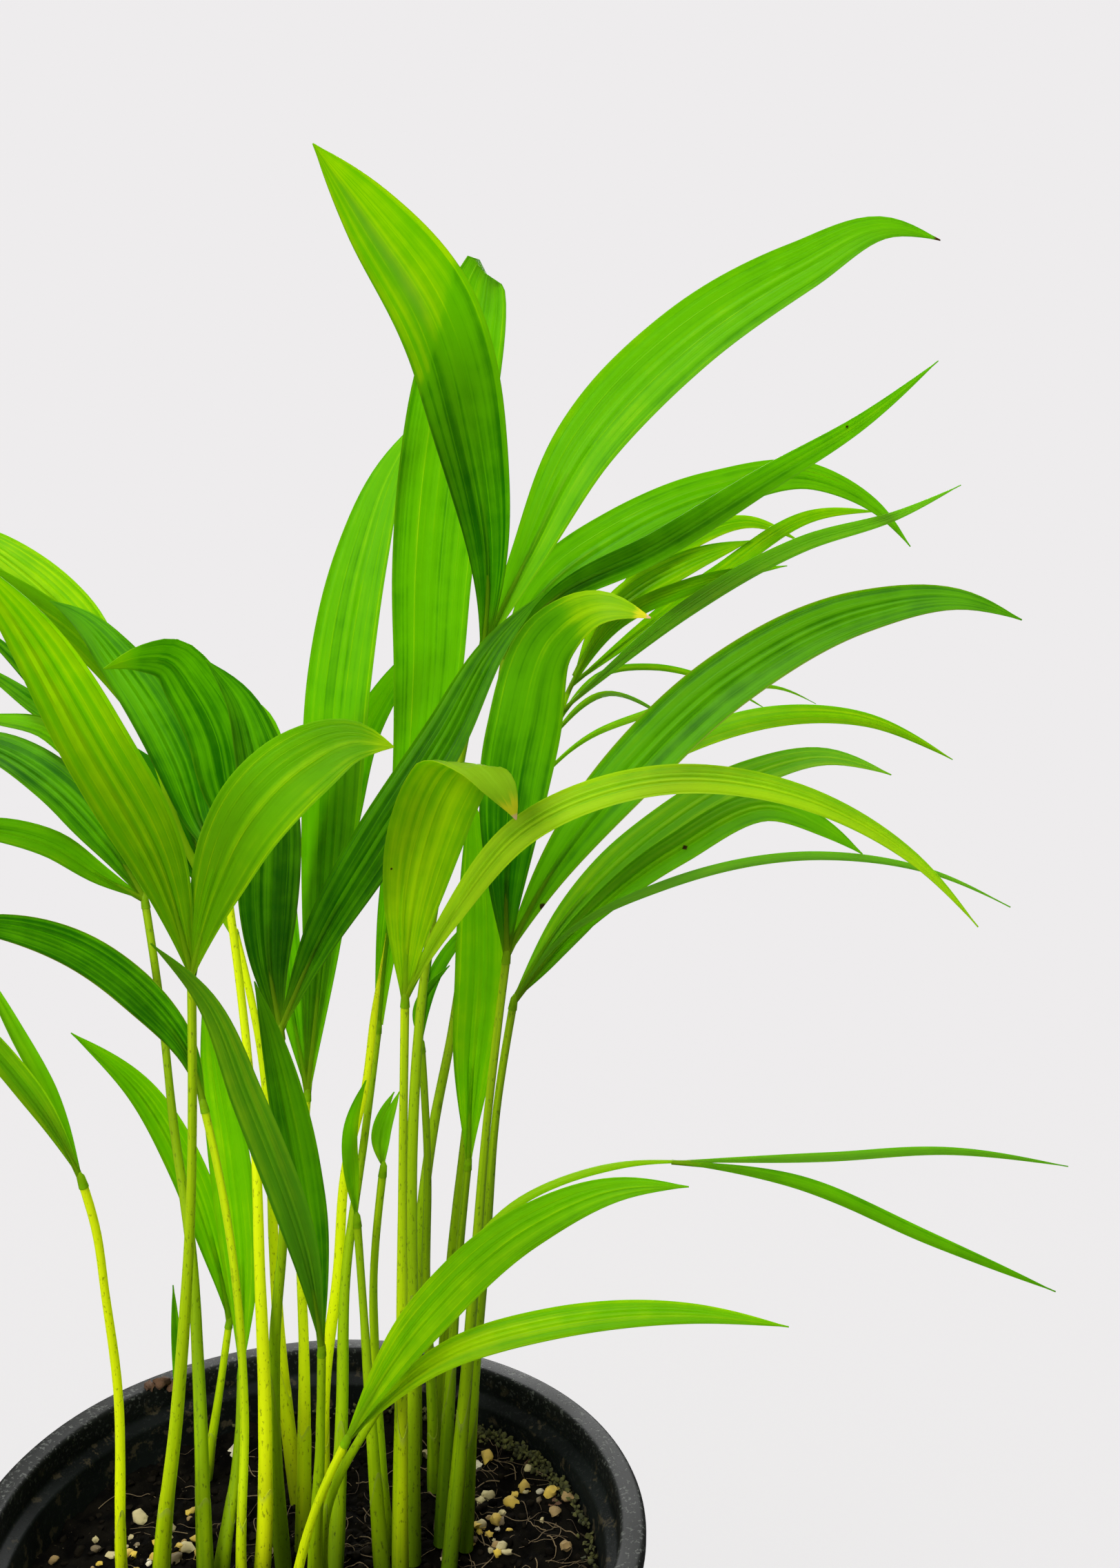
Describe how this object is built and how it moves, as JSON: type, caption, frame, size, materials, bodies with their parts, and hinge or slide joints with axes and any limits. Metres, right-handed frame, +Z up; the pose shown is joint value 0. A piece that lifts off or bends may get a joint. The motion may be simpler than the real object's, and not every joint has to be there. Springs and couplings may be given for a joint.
{
  "type": "potted palm",
  "caption": "Clump of young areca palm fronds, bifid and feathered, on slim stems in the soil of a round black nursery pot that stands on its flat base.",
  "frame": {"origin": "centre of the pot's flat base, on the ground", "axes": "+Z up along the pot's axis, +X to the right and -Y towards the viewer of the front"},
  "size_m": [0.2722, 0.1854, 0.4698],
  "materials": {
    "pot_plastic": "black moulded polypropylene, scuffed grey along the lip",
    "potting_soil": "dark crumbly peat and bark mix with fine roots and pale grit",
    "green_stem": "smooth green palm sheath with fine dark specks",
    "young_stem": "smooth yellow-green palm sheath",
    "green_leaf": "satin pleated palm leaflet with pale ribs",
    "young_leaf": "satin bright yellow-green palm leaflet with pale ribs",
    "dark_leaf": "satin deep green palm leaflet with pale ribs"
  },
  "bodies": {
    "root": {"leaf_back_feather": "young_leaf", "leaf_back_low_left": "green_leaf", "leaf_back_right_pair": "green_leaf", "leaf_broad_right_pair": "dark_leaf", "leaf_crossing_pair": "dark_leaf", "leaf_dark_pair": "dark_leaf", "leaf_far_left_pair": "young_leaf", "leaf_folded_left": "dark_leaf", "leaf_folded_tall": "green_leaf", "leaf_hidden_tall": "green_leaf", "leaf_hood_pair": "young_leaf", "leaf_left_fan": "dark_leaf", "leaf_left_feather": "young_leaf", "leaf_left_pair": "young_leaf", "leaf_low_feather": "green_leaf", "leaf_low_front": "young_leaf", "leaf_low_left": "dark_leaf", "leaf_narrow_upright": "green_leaf", "leaf_small_feather": "dark_leaf", "leaf_small_sprig": "young_leaf", "leaf_split_right": "green_leaf", "leaf_sprout": "young_leaf", "leaf_tall_pair": "green_leaf", "leaf_upright_broad": "young_leaf", "leaf_young_fan": "green_leaf", "pot": "pot_plastic", "soil": "potting_soil", "stem_back_feather": "green_stem", "stem_back_low_left": "green_stem", "stem_back_right_pair": "green_stem", "stem_broad_right_pair": "green_stem", "stem_crossing_pair": "green_stem", "stem_dark_pair": "green_stem", "stem_far_left_pair": "young_stem", "stem_folded_left": "young_stem", "stem_folded_tall": "green_stem", "stem_hidden_tall": "young_stem", "stem_hood_pair": "green_stem", "stem_left_fan": "green_stem", "stem_left_feather": "young_stem", "stem_left_pair": "green_stem", "stem_low_feather": "green_stem", "stem_low_front": "young_stem", "stem_low_left": "young_stem", "stem_narrow_upright": "green_stem", "stem_small_feather": "green_stem", "stem_small_sprig": "green_stem", "stem_spear": "young_stem", "stem_split_right": "green_stem", "stem_sprout": "green_stem", "stem_tall_pair": "green_stem", "stem_upright_broad": "green_stem", "stem_young_fan": "green_stem"}
  },
  "joints": []
}
